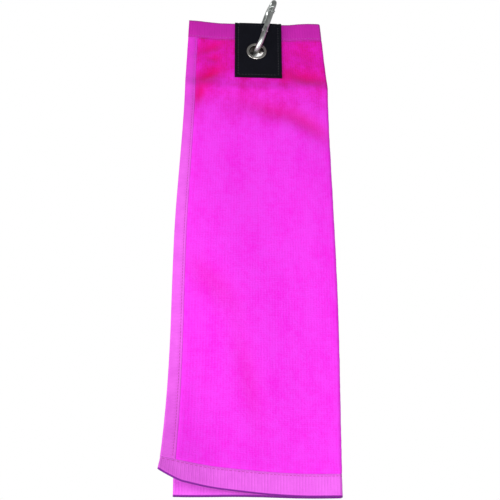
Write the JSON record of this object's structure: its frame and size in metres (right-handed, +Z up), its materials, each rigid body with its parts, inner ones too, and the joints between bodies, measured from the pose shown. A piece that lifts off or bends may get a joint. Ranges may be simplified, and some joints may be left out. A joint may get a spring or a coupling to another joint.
{
  "type": "golf towel",
  "caption": "Velour golf towel folded in three along its length, hung by an eyelet in a woven patch from a gated carabiner.",
  "frame": {"origin": "inner surface of the carabiner's top bend, where the ring or hook that carries the towel bears", "axes": "+Z up, the towel hanging down; the towel's front faces -Y and its soft fold is at +X"},
  "size_m": [0.1535, 0.0534, 0.5287],
  "materials": {
    "carabiner_metal": "satin",
    "pin_steel": "satin",
    "velour": "matt velour pile",
    "hem_cloth": "flat ribbed weave",
    "hem_thread": "matt thread",
    "webbing": "fine black weave",
    "patch_thread": "matt thread",
    "nickel": "polished nickel"
  },
  "bodies": {
    "carabiner": {"carabiner_body": "carabiner_metal", "hinge_rivet": "pin_steel"},
    "gate": {"gate": "carabiner_metal", "nose_pin": "pin_steel", "gate_spring": "pin_steel"},
    "plunger": {"gate_plunger": "pin_steel"},
    "towel": {"towel_cloth": "velour", "top_hem": "hem_cloth", "bottom_hem": "hem_cloth", "front_side_hem": "hem_cloth", "inner_side_hem": "hem_cloth", "top_hem_stitching": "hem_thread", "bottom_hem_stitching": "hem_thread", "front_side_stitching": "hem_thread", "patch": "webbing", "patch_stitching_front": "patch_thread", "patch_stitching_back": "patch_thread", "eyelet": "nickel", "eyelet_washer": "nickel"}
  },
  "joints": [
    {"name": "gate_swing", "type": "hinge", "parent": "carabiner", "child": "gate", "pos_m": [-0.00045, -0.01288, -0.01544], "axis": [0.9263, 0.2756, -0.2569], "range_deg": [0, 15], "stiffness_Nm_per_rad": 0.05, "springref_deg": -17.19},
    {"name": "plunger_slide", "type": "slide", "parent": "gate", "child": "plunger", "axis": [-0.2672, 0, -0.9636], "range_m": [0, 0.0007]},
    {"name": "towel_swing", "type": "hinge", "parent": "carabiner", "child": "towel", "pos_m": [-0.01689, 0.00192, -0.05883], "axis": [0, 1, 0], "range_deg": [-20, 50]}
  ],
  "couplings": [
    {"joint": "plunger_slide", "follows": "gate_swing", "m_per_rad": 0.0023}
  ]
}
